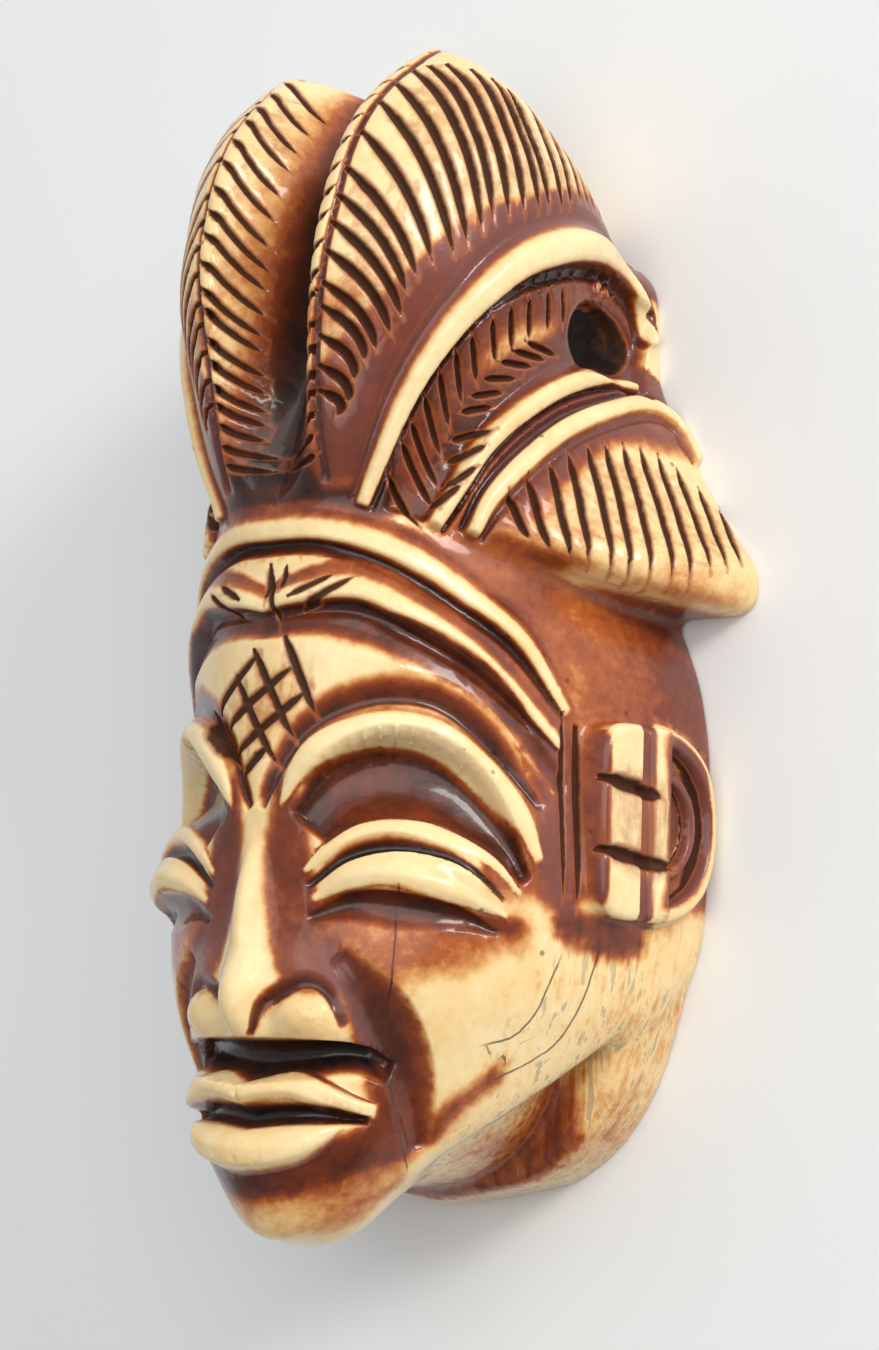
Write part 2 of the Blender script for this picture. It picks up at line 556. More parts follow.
lids = [
    Carving(UNDER_LID, [(-2.2, 0), (-1.2, -0.8), (0, -1.3), (1.0, -1.0), (1.8, 0)],
            width=[(0, 0.3), (0.5, 1), (1, 0.2)], depth=[(0, 0.4), (0.5, 1), (1, 0.3)],
            paint=[(-2.2, 0.6), (0, 0.85), (1.2, 0.8), (1.6, 0.55)], form=eye_form),
    Carving(LID_UPPER, [(-1.6, 0), (-1.1, 0.3), (0, 0.6), (0.9, 0.35), (1.2, -0.1), (1.7, 0)],
            width=[(0, 0.25), (0.3, 0.8), (0.6, 1), (1, 0.2)], depth=[(0, 0.4), (0.5, 1), (1, 0.3)],
            paint=[(-1.5, 0.3), (-1.0, 0.08), (0.8, 0.1), (1.1, 0.45), (1.4, 0.8)], form=eye_form),
    Carving(LID_LOWER, [(-1.8, 0), (-1.1, 0.35), (0, 0.6), (0.9, 0.3), (1.4, 0)],
            width=[(0, 0.3), (0.3, 0.9), (0.6, 1), (1, 0.2)], depth=[(0, 0.4), (0.5, 1), (1, 0.3)],
            paint=[(-1.7, 0.7), (-1.3, 0.5), (-0.9, 0.1), (1.1, 0.1)], form=eye_form),
    Carving(LID_CUT, [(-0.9, 0), (-0.45, -0.75), (0, -1.05), (0.5, -0.8), (0.95, 0)],
            width=[(0, 0.5), (0.4, 1), (1, 0.3)], depth=[(0, 0.5), (0.4, 1), (1, 0.2)],
            paint=[(-0.95, 0.35), (-0.6, 0.8), (0, 1.0), (0.6, 0.8), (0.95, 0.35)], form=eye_form),
]


# The nose, the mouth and the chin
# The nose has a narrow bridge and square wings, cut off flat over a dark recess. The lips are two cream bands
# with a wide dark slit between them, and the chin juts forward and rounds under.
RECESS = [(0, -40.2, 36), (6, -39.9, 35), (10, -40, 33), (12, -41.2, 31)]
CHEEK_FOLD = [(9.2, -31, 35), (12.4, -36, 32.5), (13.4, -42, 29), (12.4, -48, 26)]
LIP_UPPER = [(0, -43.3, 36), (2.3, -42.6, 36), (4.6, -42.3, 35.3), (6.8, -43, 34.4), (8.8, -44, 32.6),
             (10.4, -44.4, 31)]
LIP_LOWER = [(0, -48.4, 36), (2.2, -48.3, 35.9), (4.6, -47.7, 35), (6.4, -46.7, 33.8), (7.8, -45.8, 32.8)]
LIP_SLIT = [(0, -45.4, 36), (4.2, -45, 35.2), (7.6, -45, 33.4), (10, -45.3, 31.5)]


# each egg's centre and radii, and then how softly it joins the ones before it
NOSE_EGGS = [((0, -28.5, 33.2), (2.2, 10.5, 5.6)), ((2.6, -32.8, 32.8), (5.2, 7, 4.2), 2.6),
             ((0, -34.6, 35.8), (2.4, 4.2, 4.2), 1.6), ((5, -36, 33.4), (3.9, 2.9, 3.7), 0.8)]
CHIN_EGGS = [((0, -46, 25.5), (11, 8.6, 11)), ((0, -51.4, 27), (7.6, 5.6, 6.2), 2)]


def joined_eggs(a, y, z, eggs):
    (centre, radii), *others = eggs
    f = egg(a, y, z, centre, radii)
    for centre, radii, soft in others:
        f = join(f, egg(a, y, z, centre, radii), soft)
    return f


def nose_form(a, y, z):
    return joined_eggs(a, y, z, NOSE_EGGS)


def chin_form(a, y, z):
    return joined_eggs(a, y, z, CHIN_EGGS)


NOSE_CREASE = [(1.6, -38, 37.6), (2.5, -35.9, 37.5), (4, -34.2, 36.6), (6, -33.3, 35.8), (7.8, -34, 35.2),
               (8.9, -36.6, 34.2)]

mouth_hollows = [
    Carving(RECESS, [(-2.4, 0), (-1.6, -1.6), (0, -3.1), (1.4, -2.6), (2.1, 0)], width=[(0, 1), (1, 0.5)],
            depth=[(0, 1), (0.7, 0.9), (1, 0.5)], paint=[(-2.0, 0.5), (-1.2, 0.95), (1.6, 1.0), (1.9, 0.6)]),
    Carving(CHEEK_FOLD, [(-3, 0), (-1.2, -1.3), (0, -1.6), (1.2, -1.3), (3, 0)],
            width=[(0, 0.4), (0.4, 1), (1, 0.5)], depth=[(0, 0.4), (0.4, 1), (1, 0.5)],
            paint=[(-3, 0.8), (0, 0.8), (1.6, 0.66), (3, 0.4)]),
]


def face_form(a, y, z):
    f = blank(a, y, z) - heights(a, y, z, coiffure_bands)
    f -= heights(a, y, z, headbands) + heights(a, y, z, eye_hollows)
    f = join(f, lid_form(a, y, z), LID_SOFT)
    f = join(f - heights(a, y, z, lids), nose_form(a, y, z), 1.4)
    f = join(f, chin_form(a, y, z), 1.6)
    return f - heights(a, y, z, mouth_hollows)


nose_creases = [
    Carving(NOSE_CREASE, [(-0.9, 0), (-0.25, -0.55), (0.15, -0.6), (0.9, -0.2), (1.5, 0)],
            width=[(0, 0.5), (0.3, 1), (1, 0.6)], depth=[(0, 0.6), (0.3, 1), (0.8, 0.7), (1, 0.3)],
            paint=[(-0.5, 0.3), (-0.25, 0.78), (0.3, 0.85), (1.2, 0.6)], form=face_form),
]


lips = [
    Carving(LIP_UPPER, [(-1.9, 0), (-1.4, 0.9), (-0.7, 1.6), (0.6, 1.6), (1.3, 1.0), (1.6, 0.2), (2, 0)],
            width=[(0, 0.8), (0.4, 0.95), (0.7, 0.75), (1, 0.45)], depth=[(0, 1), (0.8, 0.8), (1, 0.3)],
            paint=[(-1.5, 0.4), (-1.2, 0.12), (1.1, 0.12), (1.4, 0.6), (1.8, 0.9)], form=face_form),
    Carving(LIP_LOWER, [(-2.3, 0), (-1.7, 0.7), (-0.6, 1.7), (0.6, 1.6), (1.5, 0.9), (2.1, 0)],
            width=[(0, 1), (0.5, 0.85), (1, 0.3)], depth=[(0, 1), (0.6, 0.9), (1, 0.3)],
            paint=[(-2.1, 0.6), (-1.7, 0.45), (-1.2, 0.12), (1.5, 0.12)], form=face_form),
    Carving(LIP_SLIT, [(-1.4, 0), (-1.0, -1.2), (0, -2.1), (1.0, -1.4), (1.4, 0)],
            width=[(0, 0.9), (0.6, 0.7), (1, 0.35)], depth=[(0, 1), (1, 0.5)],
            paint=[(-1.3, 0.45), (-0.9, 0.9), (0.9, 1.0), (1.3, 0.6)], form=face_form),
]

# The ears
# Each ear is a block that stands off the head, square in front and round behind. Two cream columns cross its
# front, notched into three. Behind them lie a deep hollow, a thin wall, a curved groove and the outer rim.
EAR_Y = -17
EAR_HALF_LENGTH = 9.2
EAR_FACE_X = 28
EAR_LEAN = 0.18
EAR_LEAN_FROM = 3
EAR_ROOT_X = 20
EAR_MIDDLE_Z = 9.6
EAR_FRONT_DEPTH = 7.4
EAR_BACK_DEPTH = 8.6
COLUMN_GAP = (10.3, 12.0)
COLUMN_BACK_Z = 8.4
COLUMN_FRONT_Z = 16.6
COLUMN_STEP = 0.25
GAP_DEPTH = 0.8
HOLLOW_EDGE = 0.5
HOLLOW_DEPTH = 3.2
GROOVE_PLACE = 0.71
GROOVE_DEPTH = 1.7
NOTCH_HALF_WIDTH = 0.85


def ear_ring(y, z):
    """0 in the middle of the ear's round back, 1 on its outline."""
    return np.hypot((y - EAR_Y) / EAR_HALF_LENGTH, (z - EAR_MIDDLE_Z) / EAR_BACK_DEPTH)


def ear_sunk(y, z):
    """How far the outer face of the ear is cut back at each place."""
    ring = ear_ring(y, z)
    behind = fade((COLUMN_BACK_Z - z) / 0.6)
    hollow = HOLLOW_DEPTH * fade((HOLLOW_EDGE - ring) / 0.09)
    groove = GROOVE_DEPTH * fade(1.5 - np.abs(ring - GROOVE_PLACE) / 0.1)
    gap = fade((z - COLUMN_GAP[0] + 0.3) / 0.5) * fade((COLUMN_GAP[1] + 0.3 - z) / 0.5)
    return behind * (np.maximum(hollow, groove) + COLUMN_STEP) + GAP_DEPTH * gap


def ear_outline(y, z):
    front = z > EAR_MIDDLE_Z
    power = np.where(front, 6.0, 2.2)
    py = np.abs(y - EAR_Y) / EAR_HALF_LENGTH
    pz = np.abs(z - EAR_MIDDLE_Z) / np.where(front, EAR_FRONT_DEPTH, EAR_BACK_DEPTH)
    return ((py**power + pz**power + 1e-9) ** (1 / power) - 1) * 8


def ear_face(z):
    """How far out the ear's face stands. It leans in towards the front."""
    return EAR_FACE_X - EAR_LEAN * np.maximum(z - EAR_LEAN_FROM, 0)


def ear_form(a, y, z):
    face = ear_face(z) - ear_sunk(y, z)
    return meet(meet(ear_outline(y, z), a - face, 0.9), EAR_ROOT_X - a, 1)


def ear_notch(y0, z0, y1, z1):
    start, end = (ear_face(z0), y0, z0), (ear_face(z1), y1, z1)
    return stroke(start, end, NOTCH_HALF_WIDTH, 1, form=ear_form)


ear_cuts = [
    ear_notch(EAR_Y + 3.7, 16.8, EAR_Y + 2.4, 7.8),
    ear_notch(EAR_Y - 2.9, 16.8, EAR_Y - 4.1, 7.4),
]
strap_lines = [
    stroke((23, -7.6, 19.4), (22.6, -25, 19.2), 0.3, 0.4),
    stroke((23.6, -8.6, 17.9), (23, -26, 17.6), 0.4, 0.55, blunt=0.8),
]

# The strokes of the coiffure
# Long gouge strokes fan down the outer flank of each crest lobe, and short ones fall from its ridge into the
# valley. Two rows meet as a herringbone in the sunk panel, and upright strokes cover the side bun.
FAN_CENTRE_Y = 12.5
FAN_CENTRE_Z = 10
CREST_STROKES = 30
CREST_FIRST = 79
CREST_STEP = 3.45
BROAD_STROKES = 18
INNER_STROKES = 19
INNER_FIRST = 84
INNER_STEP = 3.5
PANEL_STROKES = 12
BUN_STROKES = 12
# half width and depth of each kind of stroke
BROAD_CREST_CUT = (0.56, 0.8)
CREST_CUT = (0.5, 0.8)
INNER_CUT = (0.42, 0.5)
PANEL_UPPER_CUT = (0.38, 0.7)
PANEL_LOWER_CUT = (0.38, 0.65)
BUN_CUT = (0.46, 0.75)
RANDOM_SEED = 7
rng = np.random.default_rng(RANDOM_SEED)
ridge_radius = profile([(-20, 44), (0, 46.2), (10, 46.6), (24, 45.7), (32, 43.9), (40, 41.5), (49, 37.8),
                        (57, 35), (63, 32.7), (76, 28.7), (89, 25.3)])
ridge_x = profile([(-20, 11), (10, 10), (24, 9), (37, 8.4), (53, 7.9), (63, 6.9), (76, 6.3), (89, 5.8)])
# for each angle at a stroke's foot: the angle, distance and x of its head, and the x of its foot
head_angle = profile([(-25, -28), (0, -4), (13, 10), (20, 18), (27, 21), (35, 24), (40, 27.5), (47, 36),
                      (52, 43), (65, 57), (80, 74)])
head_radius = profile([(-25, 35), (0, 37), (13, 38.5), (20, 41.3), (27, 43.9), (35, 45.2), (40, 44.6),
                       (47, 42.2), (52, 40), (65, 34), (80, 28.4)])
head_x = profile([(-25, 17), (0, 19), (13, 17.9), (20, 16.6), (27, 14.4), (32, 11.6), (38, 9.7), (47, 8.9),
                  (65, 7.7), (80, 6.8)])
foot_x = profile([(-25, 18), (13, 20), (20, 19.8), (35, 17.9), (52, 14.7), (80, 9)])
inner_length = profile([(20, 4.5), (30, 5.6), (46, 7.4), (60, 6.6), (73, 4.8), (84, 3)])


def fan_point(angle, radius, x):
    """A point by its angle from the crown towards the face, its distance from the fan's centre, and its x."""
    turned = math.radians(float(angle))
    radius = float(radius)
    return (float(x), FAN_CENTRE_Y + radius * math.cos(turned), FAN_CENTRE_Z + radius * math.sin(turned))


def wobble(size):
    return size * rng.uniform(-1, 1)


def crest_strokes():
    for i in range(CREST_STROKES):
        foot = CREST_FIRST - CREST_STEP * i + wobble(0.4)
        start = fan_point(head_angle(foot), head_radius(foot), head_x(foot))
        end = fan_point(foot, (30.2 if foot < 56 else 28.8) + wobble(0.5), foot_x(foot))
        yield stroke(start, end, *(BROAD_CREST_CUT if i < BROAD_STROKES else CREST_CUT), bend=(1.2, 0, 0))


def inner_strokes():
    for i in range(INNER_STROKES):
        angle = INNER_FIRST - INNER_STEP * i + wobble(0.5)
        outer, side = ridge_radius(angle), ridge_x(angle)
        start = fan_point(angle, outer + 0.4, side - 0.5)
        end = fan_point(angle + 1.2, outer - inner_length(angle) + wobble(0.3), side * 0.42)
        yield stroke(start, end, *INNER_CUT, bend=(0, 0, 0.8), blunt=0.2)


def ridge_line():
    points = [fan_point(angle, ridge_radius(angle), ridge_x(angle)) for angle in range(88, -13, -10)]
    return Carving(points, [(-0.55, 0), (-0.2, -0.4), (0.2, -0.4), (0.55, 0)],
                   paint=[(-0.6, 0.3), (-0.3, 0.88), (0.3, 0.88), (0.6, 0.3)], steps=4)


def panel_strokes():
    lean = profile([(0, 14), (0.3, 11), (0.6, 6), (1, 1)])
    for i in range(PANEL_STROKES):
        share = i / (PANEL_STROKES - 1)
        top = 88 - 6.4 * i + wobble(0.8)
        x = 11.4 + 8 * math.sqrt(share)
        start = fan_point(top, 23 - 0.8 * share, x)
        end = fan_point(top + lean(share), 18.9 - 0.4 * share, x)
        yield stroke(start, end, *PANEL_UPPER_CUT, blunt=0.3)
    for i in range(PANEL_STROKES - 2):
        share = i / (PANEL_STROKES - 3)
        angle = 94 - 6.6 * i + wobble(0.8)
        x = 13 + 6.4 * math.sqrt(share)
        start = fan_point(angle, 18.6 - 0.4 * share, x)
        end = fan_point(angle - 7 - 6 * share, 16 - 0.6 * share, x + 0.8)
        yield stroke(start, end, *PANEL_LOWER_CUT, blunt=0.3)


def bun_strokes():
    top_y = profile([(-1, 13), (1.5, 15.4), (4, 18), (8, 19.4), (13, 18.7), (18, 15.5), (22, 12.3)])
    for i in range(BUN_STROKES):
        top_z = 21.8 - 1.96 * i + wobble(0.15)
        foot_z = 22.3 - 1.82 * i + wobble(0.15)
        foot_y = 6.2 + ((foot_z - 12) / 10) ** 2 * 1.9 + wobble(0.3)
        x = BUN_HALF_WIDTH - foot_z * 0.5
        yield stroke((x - 4, float(top_y(top_z)), top_z), (x, foot_y, foot_z), *BUN_CUT, blunt=0.3)


coiffure_strokes = [*crest_strokes(), *inner_strokes(), *panel_strokes(), *bun_strokes()]
ridge_lines = [ridge_line()]

# The marks on the forehead
# A lozenge of crossed lines sits between the brows, and a few free cuts part the lower headband above it.
FOREHEAD_Z = 36.5
LOZENGE_CUT = (0.5, 0.55)
HEADBAND_CUT = (0.36, 0.45)
LOZENGE = [((-9.4, -7.9), (-2.0, -13.6)), ((-3.0, -5.2), (2.3, -13.4)), ((-0.9, -2.7), (3.9, -11.1)),
           ((2.5, -1.6), (6.1, -8.8)), ((-6.3, -7.9), (-0.2, -2.7)), ((-4.0, -9.5), (3.8, -4.0)),
           ((-2.6, -12.1), (5.4, -6.3)), ((-1.5, -14.0), (1.2, -11.6))]
HEADBAND_CUTS = [((3.1, 2.4), (7.6, 4.5)), ((4.4, 1.4), (10.1, 4.4)), ((0.0, 5.5), (0.3, 1.9)),
                 ((1.9, 5.0), (1.8, 3.0)), ((0.6, 3.9), (1.5, -0.1)), ((-3.1, 2.4), (-6.8, 4.2)),
                 ((-4.4, 1.2), (-8.6, 3.6))]


def plan_stroke(start, end, half, deep):
    """A stroke given by its ends as seen from the front."""
    return stroke((*start, FOREHEAD_Z), (*end, FOREHEAD_Z), half, deep)


middle_strokes = [plan_stroke(start, end, *LOZENGE_CUT) for start, end in LOZENGE]
middle_strokes += [plan_stroke(start, end, *HEADBAND_CUT) for start, end in HEADBAND_CUTS]

# The suspension hole
# A round hole is bored from side to side behind the rims, for a cord.
HOLE_Y = 30
HOLE_Z = 9.8
HOLE_RADIUS = 3.2
HOLE_SCOOP = (20.4, 30.6, 8.6)
SCOOP_RADII = (6.4, 3.7, 6.2)


def carved_side(a, y, z):
    """Everything that both sides share."""
    f = face_form(a, y, z) - heights(a, y, z, lips) - heights(a, y, z, nose_creases)
    f -= heights(a, y, z, coiffure_strokes, deepest=True) + heights(a, y, z, ridge_lines)
    f -= heights(a, y, z, strap_lines, deepest=True)
    ear = ear_form(a, y, z) - heights(a, y, z, ear_cuts, deepest=True)
    f = join(f, ear, 0.6)
    f = meet(f, HOLE_RADIUS - np.hypot(y - HOLE_Y, z - HOLE_Z), 0.8)
    f = meet(f, -egg(a, y, z, HOLE_SCOOP, SCOOP_RADII), 1)
    return meet(f, -z, 0.7)


def carved(x, y, z):
    return carved_side(np.abs(x), y, z) - heights(x, y, z, middle_strokes, deepest=True)


# The mesh of the mask
# The carved block is measured on a fine grid near its surface, and a closed skin is laid where it crosses.
# The skin is then drawn onto the true surface and thinned where it is even.
FINE_STEP = 0.25
COARSE_STEP = 1.0
SKIN_DEPTH = 1.25
COARSE_SLACK = 0.4
DRAWING_PASSES = 2
LOW = np.array([-33.0, -61.0, -2.0])
HIGH = np.array([33.0, 62.0, 43.0])
TRIANGLES = 190000
BATCH = 24000
BLOCK = 6
FRAME_SHIFT_Y = 0.05


def in_batches(form, p):
    """A form at many points, block by block, so that each block meets only the carvings near it."""
    order = np.lexsort((p[:, 2] // BLOCK, p[:, 1] // BLOCK))
    found = np.zeros(len(p))
    for i in range(0, len(p), BATCH):
        rows = order[i:i + BATCH]
        found[rows] = form(*p[rows].T)
    return found


def finer(values, times):
    """The grid with this many steps for each of the old ones."""
    for axis in range(3):
        v = np.moveaxis(values, axis, 0)
        steps = [v[:-1] + (v[1:] - v[:-1]) * (i / times) for i in range(times)]
        inner = np.stack(steps, 1).reshape(-1, *v.shape[1:])
        values = np.moveaxis(np.concatenate([inner, v[-1:]]), 0, axis)
    return values


def grid_points(low, high, step):
    axes = [np.arange(round((h - l) / step) + 1) * step + l for l, h in zip(low, high)]
    return np.stack(np.meshgrid(*axes, indexing="ij"), -1)


def skin(values, low, step):
    """One vertex in each cell that the surface crosses, and one four-sided face round each crossed edge."""
    inside = values < 0
    shape = np.array(values.shape) - 1
    count = np.zeros(shape, np.uint8)
    corners = [np.array([c & 1, c >> 1 & 1, c >> 2]) for c in range(8)]

    def shifted(grid, corner):
        return grid[tuple(slice(c, c + n) for c, n in zip(corner, shape))]

    for corner in corners:
        count += shifted(inside, corner)
    cells = np.argwhere((count > 0) & (count < 8))
    total = np.zeros((len(cells), 3))
    hits = np.zeros(len(cells))
    for corner in corners:
        for axis in range(3):
            if corner[axis]:
                continue
            other = corner.copy()
            other[axis] = 1
            a = values[tuple((cells + corner).T)]
            b = values[tuple((cells + other).T)]
            crossed = (a < 0) != (b < 0)
            t = a[crossed] / (a[crossed] - b[crossed])
            total[crossed] += corner
            total[crossed, axis] += t
            hits += crossed
    vertices = low + (cells + total / hits[:, None]) * step
    number = np.full(shape, -1, np.int32)
    number[tuple(cells.T)] = np.arange(len(cells))
    faces = []
    for axis in range(3):
        u, v = (axis + 1) % 3, (axis + 2) % 3
        ahead = np.moveaxis(inside, axis, 0)
        edges = np.argwhere(np.moveaxis(ahead[:-1] != ahead[1:], 0, axis))
        first, second = edges[:, u], edges[:, v]
        edges = edges[(first > 0) & (second > 0) & (first < shape[u]) & (second < shape[v])]
        ring = []
        for du, dv in ((1, 1), (0, 1), (0, 0), (1, 0)):
            cell = edges.copy()
            cell[:, u] -= du
            cell[:, v] -= dv
            ring.append(number[tuple(cell.T)])
        ring = np.stack(ring, 1)
        outward = inside[tuple(edges.T)]
        faces.append(np.where(outward[:, None], ring[:, ::-1], ring))
    return vertices, np.concatenate(faces)


half_low = np.array([0.0, LOW[1], LOW[2]])
coarse_points = grid_points(half_low, HIGH, COARSE_STEP)
coarse = in_batches(face_form, coarse_points.reshape(-1, 3)).reshape(coarse_points.shape[:3])
ear_too = in_batches(ear_form, coarse_points.reshape(-1, 3)).reshape(coarse.shape)
coarse = np.maximum(np.minimum(coarse, ear_too), -coarse_points[..., 2])
values = finer(coarse, round(COARSE_STEP / FINE_STEP))
near = np.argwhere(np.abs(values) < SKIN_DEPTH + COARSE_SLACK)
values[tuple(near.T)] = in_batches(carved_side, half_low + near * FINE_STEP)
values = np.concatenate([values[:0:-1], values])
near = np.argwhere(np.abs(values) < SKIN_DEPTH)
near_points = LOW + near * FINE_STEP
values[tuple(near.T)] -= heights(*near_points.T, middle_strokes, deepest=True)
vertices, faces = skin(values, LOW, FINE_STEP)
for _ in range(DRAWING_PASSES):
    slope = gradient(lambda *places: in_batches(carved, np.stack(places, 1)), vertices)
    move = in_batches(carved, vertices) / np.maximum((slope * slope).sum(1), 0.2)
    vertices = vertices - slope * np.clip(move, -FINE_STEP, FINE_STEP)[:, None]

mesh = bpy.data.meshes.new("mask_bone")
mesh.from_pydata(vertices.tolist(), [], faces.tolist())
mask = bpy.data.objects.new("mask_bone", mesh)
bpy.context.scene.collection.objects.link(mask)
bpy.ops.object.select_all(action="DESELECT")
mask.select_set(True)
bpy.context.view_layer.objects.active = mask
triangles = 2 * len(faces)
if triangles > TRIANGLES:
    thinning = mask.modifiers.new("thinning", "DECIMATE")
    thinning.ratio = TRIANGLES / triangles
    bpy.ops.object.modifier_apply(modifier="thinning")


# The stain
# The bone was stained brown all over and polished back, so high places are cream and the hollows are dark.
# Each vertex gets its amount of stain, how purple that is, the depth of the stroke it lies in, and its grain.
GROUND_STAIN = 0.12


def vertex_places():
    co = np.zeros(len(mask.data.vertices) * 3, np.float32)
    mask.data.vertices.foreach_get("co", co)
    return co.reshape(-1, 3).astype(float)


def blot(x, y, z, centre, radii, edge):
    """Full inside an egg and gone at its edge."""
    shares = [((v - c) / r) ** 2 for v, c, r in zip((x, y, z), centre, radii)]
    return fade((1 - np.sqrt(sum(shares))) / edge)


def lay(amount, value, where):
    return amount + (value - amount) * where


def paint_along(stain, x, y, z, carvings):
    for carving in carvings:
        near, offset, share, end = carving.locate(x, y, z)
        reach = fade((offset - carving.low_offset) / 0.5) * fade((carving.high_offset - offset) / 0.5)
        where = reach * end * fade(carving.depth(share) * 3)
        stain[near] = lay(stain[near], carving.paint(offset), where)
    return stain


def stroke_depth(x, y, z, carvings):
    """1 at the bottom of a stroke, 0 at its edge, and less than 0 close outside it."""
    depth = np.full(len(x), -1.0)
    for carving in carvings:
        near, offset, share, end = carving.locate(x, y, z)
        level = 1 - np.abs(offset) / carving.high_offset
        level = np.where(end > 0.05, level * np.minimum(carving.depth(share) * 2, 1), -1.0)
        depth[near] = np.maximum(depth[near], level)
    return depth


def smear(x, y, z, points, edge):
    """Full within a line's width and gone past its edge. Each point is a place and the half width there."""
    line = np.array(points, float)
    q = np.stack([x, y, z], 1)
    best = np.full(len(x), np.inf)
    for start, stop in zip(line, line[1:]):
        step = stop[:3] - start[:3]
        t = np.clip((q - start[:3]) @ step / (step @ step), 0, 1)
        far = np.linalg.norm(q - start[:3] - t[:, None] * step, axis=1)
        best = np.minimum(best, far - start[3] - (stop[3] - start[3]) * t)
    return fade(0.5 - best / edge)


p = vertex_places()
x, y, z = p.T
a = np.abs(x)
fan_radius = np.hypot(y - FAN_CENTRE_Y, z - FAN_CENTRE_Z)
fan_angle = np.degrees(np.arctan2(z - FAN_CENTRE_Z, y - FAN_CENTRE_Y))
stain = np.full(len(p), GROUND_STAIN)
purple = np.zeros(len(p))


def tint(amount, edge, *line, least=False):
    """Stains the skin along a line of places with half widths, by this amount or at the least by it."""
    where = smear(a, y, z, line, edge)
    stain[:] = lay(stain, np.maximum(stain, amount) if least else amount, where)
    return where


# the head's side, and the temple in front of the ear
side_low = -9 - 17 * fade((a - 17) / 3)
side_head = fade((a - 11) / 4) * fade((y - side_low) / 2.5) * fade((14 - y) / 3)
stain = lay(stain, 0.55 + 0.12 * fade((16 - z) / 12), side_head)
stain = lay(stain, 0.85, fade(y - 9.5) * fade((14 - y) / 2) * fade((12 - a) / 2))
temple = tint(0.62, 1.6, (22.6, -7, 19.5, 1.6), (22.6, -16, 19.5, 2.6), (22.4, -24, 19.5, 2.2))
purple = lay(purple, 0.8, temple)

# the forehead, darkest by the lozenge
stain = lay(stain, 0.26, blot(x, y, z, (1, -8, 37), (6, 6, 5), 0.8))

# the cheek under the lid, and the side of the nose
tint(0.5, 2.8, (7, -28, 35, 2.2), (11, -29.4, 33, 3.4), (16, -29.2, 28.6, 3), (20, -28.2, 23, 1.2))
tint(0.74, 1.6, (8, -26.4, 34.8, 1.1), (13, -26.2, 31.8, 1.5), (17.5, -27, 27.4, 1.2), (20.4, -27.4, 23, 0.6))
tint(0.66, 1.6, (3.2, -15, 36.6, 1.2), (3.6, -20, 36.4, 2.2), (4, -25, 36, 2.6), (5, -29, 35.6, 3),
     (6, -31.4, 35.2, 3))
nose_patch = tint(0.58, 1.4, (4.4, -31, 36, 1.6), (8.2, -31.8, 34.4, 1.6))
purple = lay(purple, 0.9, nose_patch)

# the fold from the nose to the jaw, with a paler edge towards the cheek
tint(0.72, 1.8, (8.6, -31.6, 34.4, 1.2), (11, -36, 32, 2.2), (11.8, -42, 30, 2.4), (11.4, -47, 28, 2.4))
tint(0.48, 2.4, (12.4, -33, 32, 0.9), (13.2, -38, 30, 1.2), (13.4, -43, 28, 1), (13.4, -47, 26, 1.4),
     least=True)
purple = lay(purple, 0.8, smear(a, y, z, [(9, -35, 33.6, 1.2), (10.4, -40, 32, 1.4)], 1.6))

# under the lower lip, and down the chin
tint(0.78, 1.6, (0, -51.4, 35, 1.5), (4, -50.6, 34, 1.9), (7.6, -48.6, 32, 2.2), (10.6, -47, 29, 2.4))
tint(0.46, 2.2, (0, -53, 34, 0.8), (5, -52.4, 32.5, 1.2), (9, -50, 29, 1.6), (12.4, -47.4, 26, 1.6),
     least=True)
tint(0.44, 3, (1.5, -54.6, 32, 1.2), (6, -53.4, 29.5, 1.8), (10, -51, 26, 1.2), least=True)

# below the ear, along the jaw, and on the flange behind it
tint(0.76, 1.6, (22.4, -27, 18.6, 1.4), (23.8, -27.8, 14.5, 2), (24.6, -28, 10.5, 1.6))
tint(0.6, 2, (12.8, -46.2, 25, 1.2), (14.6, -43.6, 24, 1), (17, -41, 21.5, 1.2))
jaw_recess = fade((-38 - y) / 4) * fade((12.5 - z) / 4) * fade((z - 5) / 3) * fade((19 - a) / 3)
stain = lay(stain, 0.6, jaw_recess)
flange = fade((-28 - y) / 8) * fade((15 - z) / 6)
stain = lay(stain, 0.24, flange * (1 - jaw_recess))

# the crest: cream above, purple-brown in the channel between the strokes and the rim
crest_edge = 24.6 - 2 * fade((fan_angle - 60) / 20)
crest_side = fade((fan_radius - crest_edge) / 0.8) * fade((y - 12) / 2) * fade(a - 5)
cream_line = profile([(-40, 32), (21, 32.1), (39, 32.6), (52, 31.8), (58, 31.4), (65, 31), (76, 30),
                      (90, 28)])
past_cream = fan_radius - cream_line(fan_angle)
front_end = fade((fan_angle - 46) / 16)
stain = lay(stain, 0.15, crest_side)
stain = lay(stain, 0.66 + 0.06 * front_end, crest_side * fade((0.2 - past_cream) / 1.2))
stain = lay(stain, 0.46, 0.8 * crest_side * front_end * fade(past_cream) * fade((4 - past_cream) / 3))
purple = lay(purple, 1 - 0.5 * front_end, fade((34.5 - fan_radius) / 3) * crest_side)
valley = fade((6.4 - a) / 2.2) * fade((y - 11) / 3) * fade((valley_edge(y) + 0.6 - z) / 3)
stain = lay(stain, 0.34 + 0.62 * fade((valley_floor(y) + 7.5 - z) / 6.5), valley)

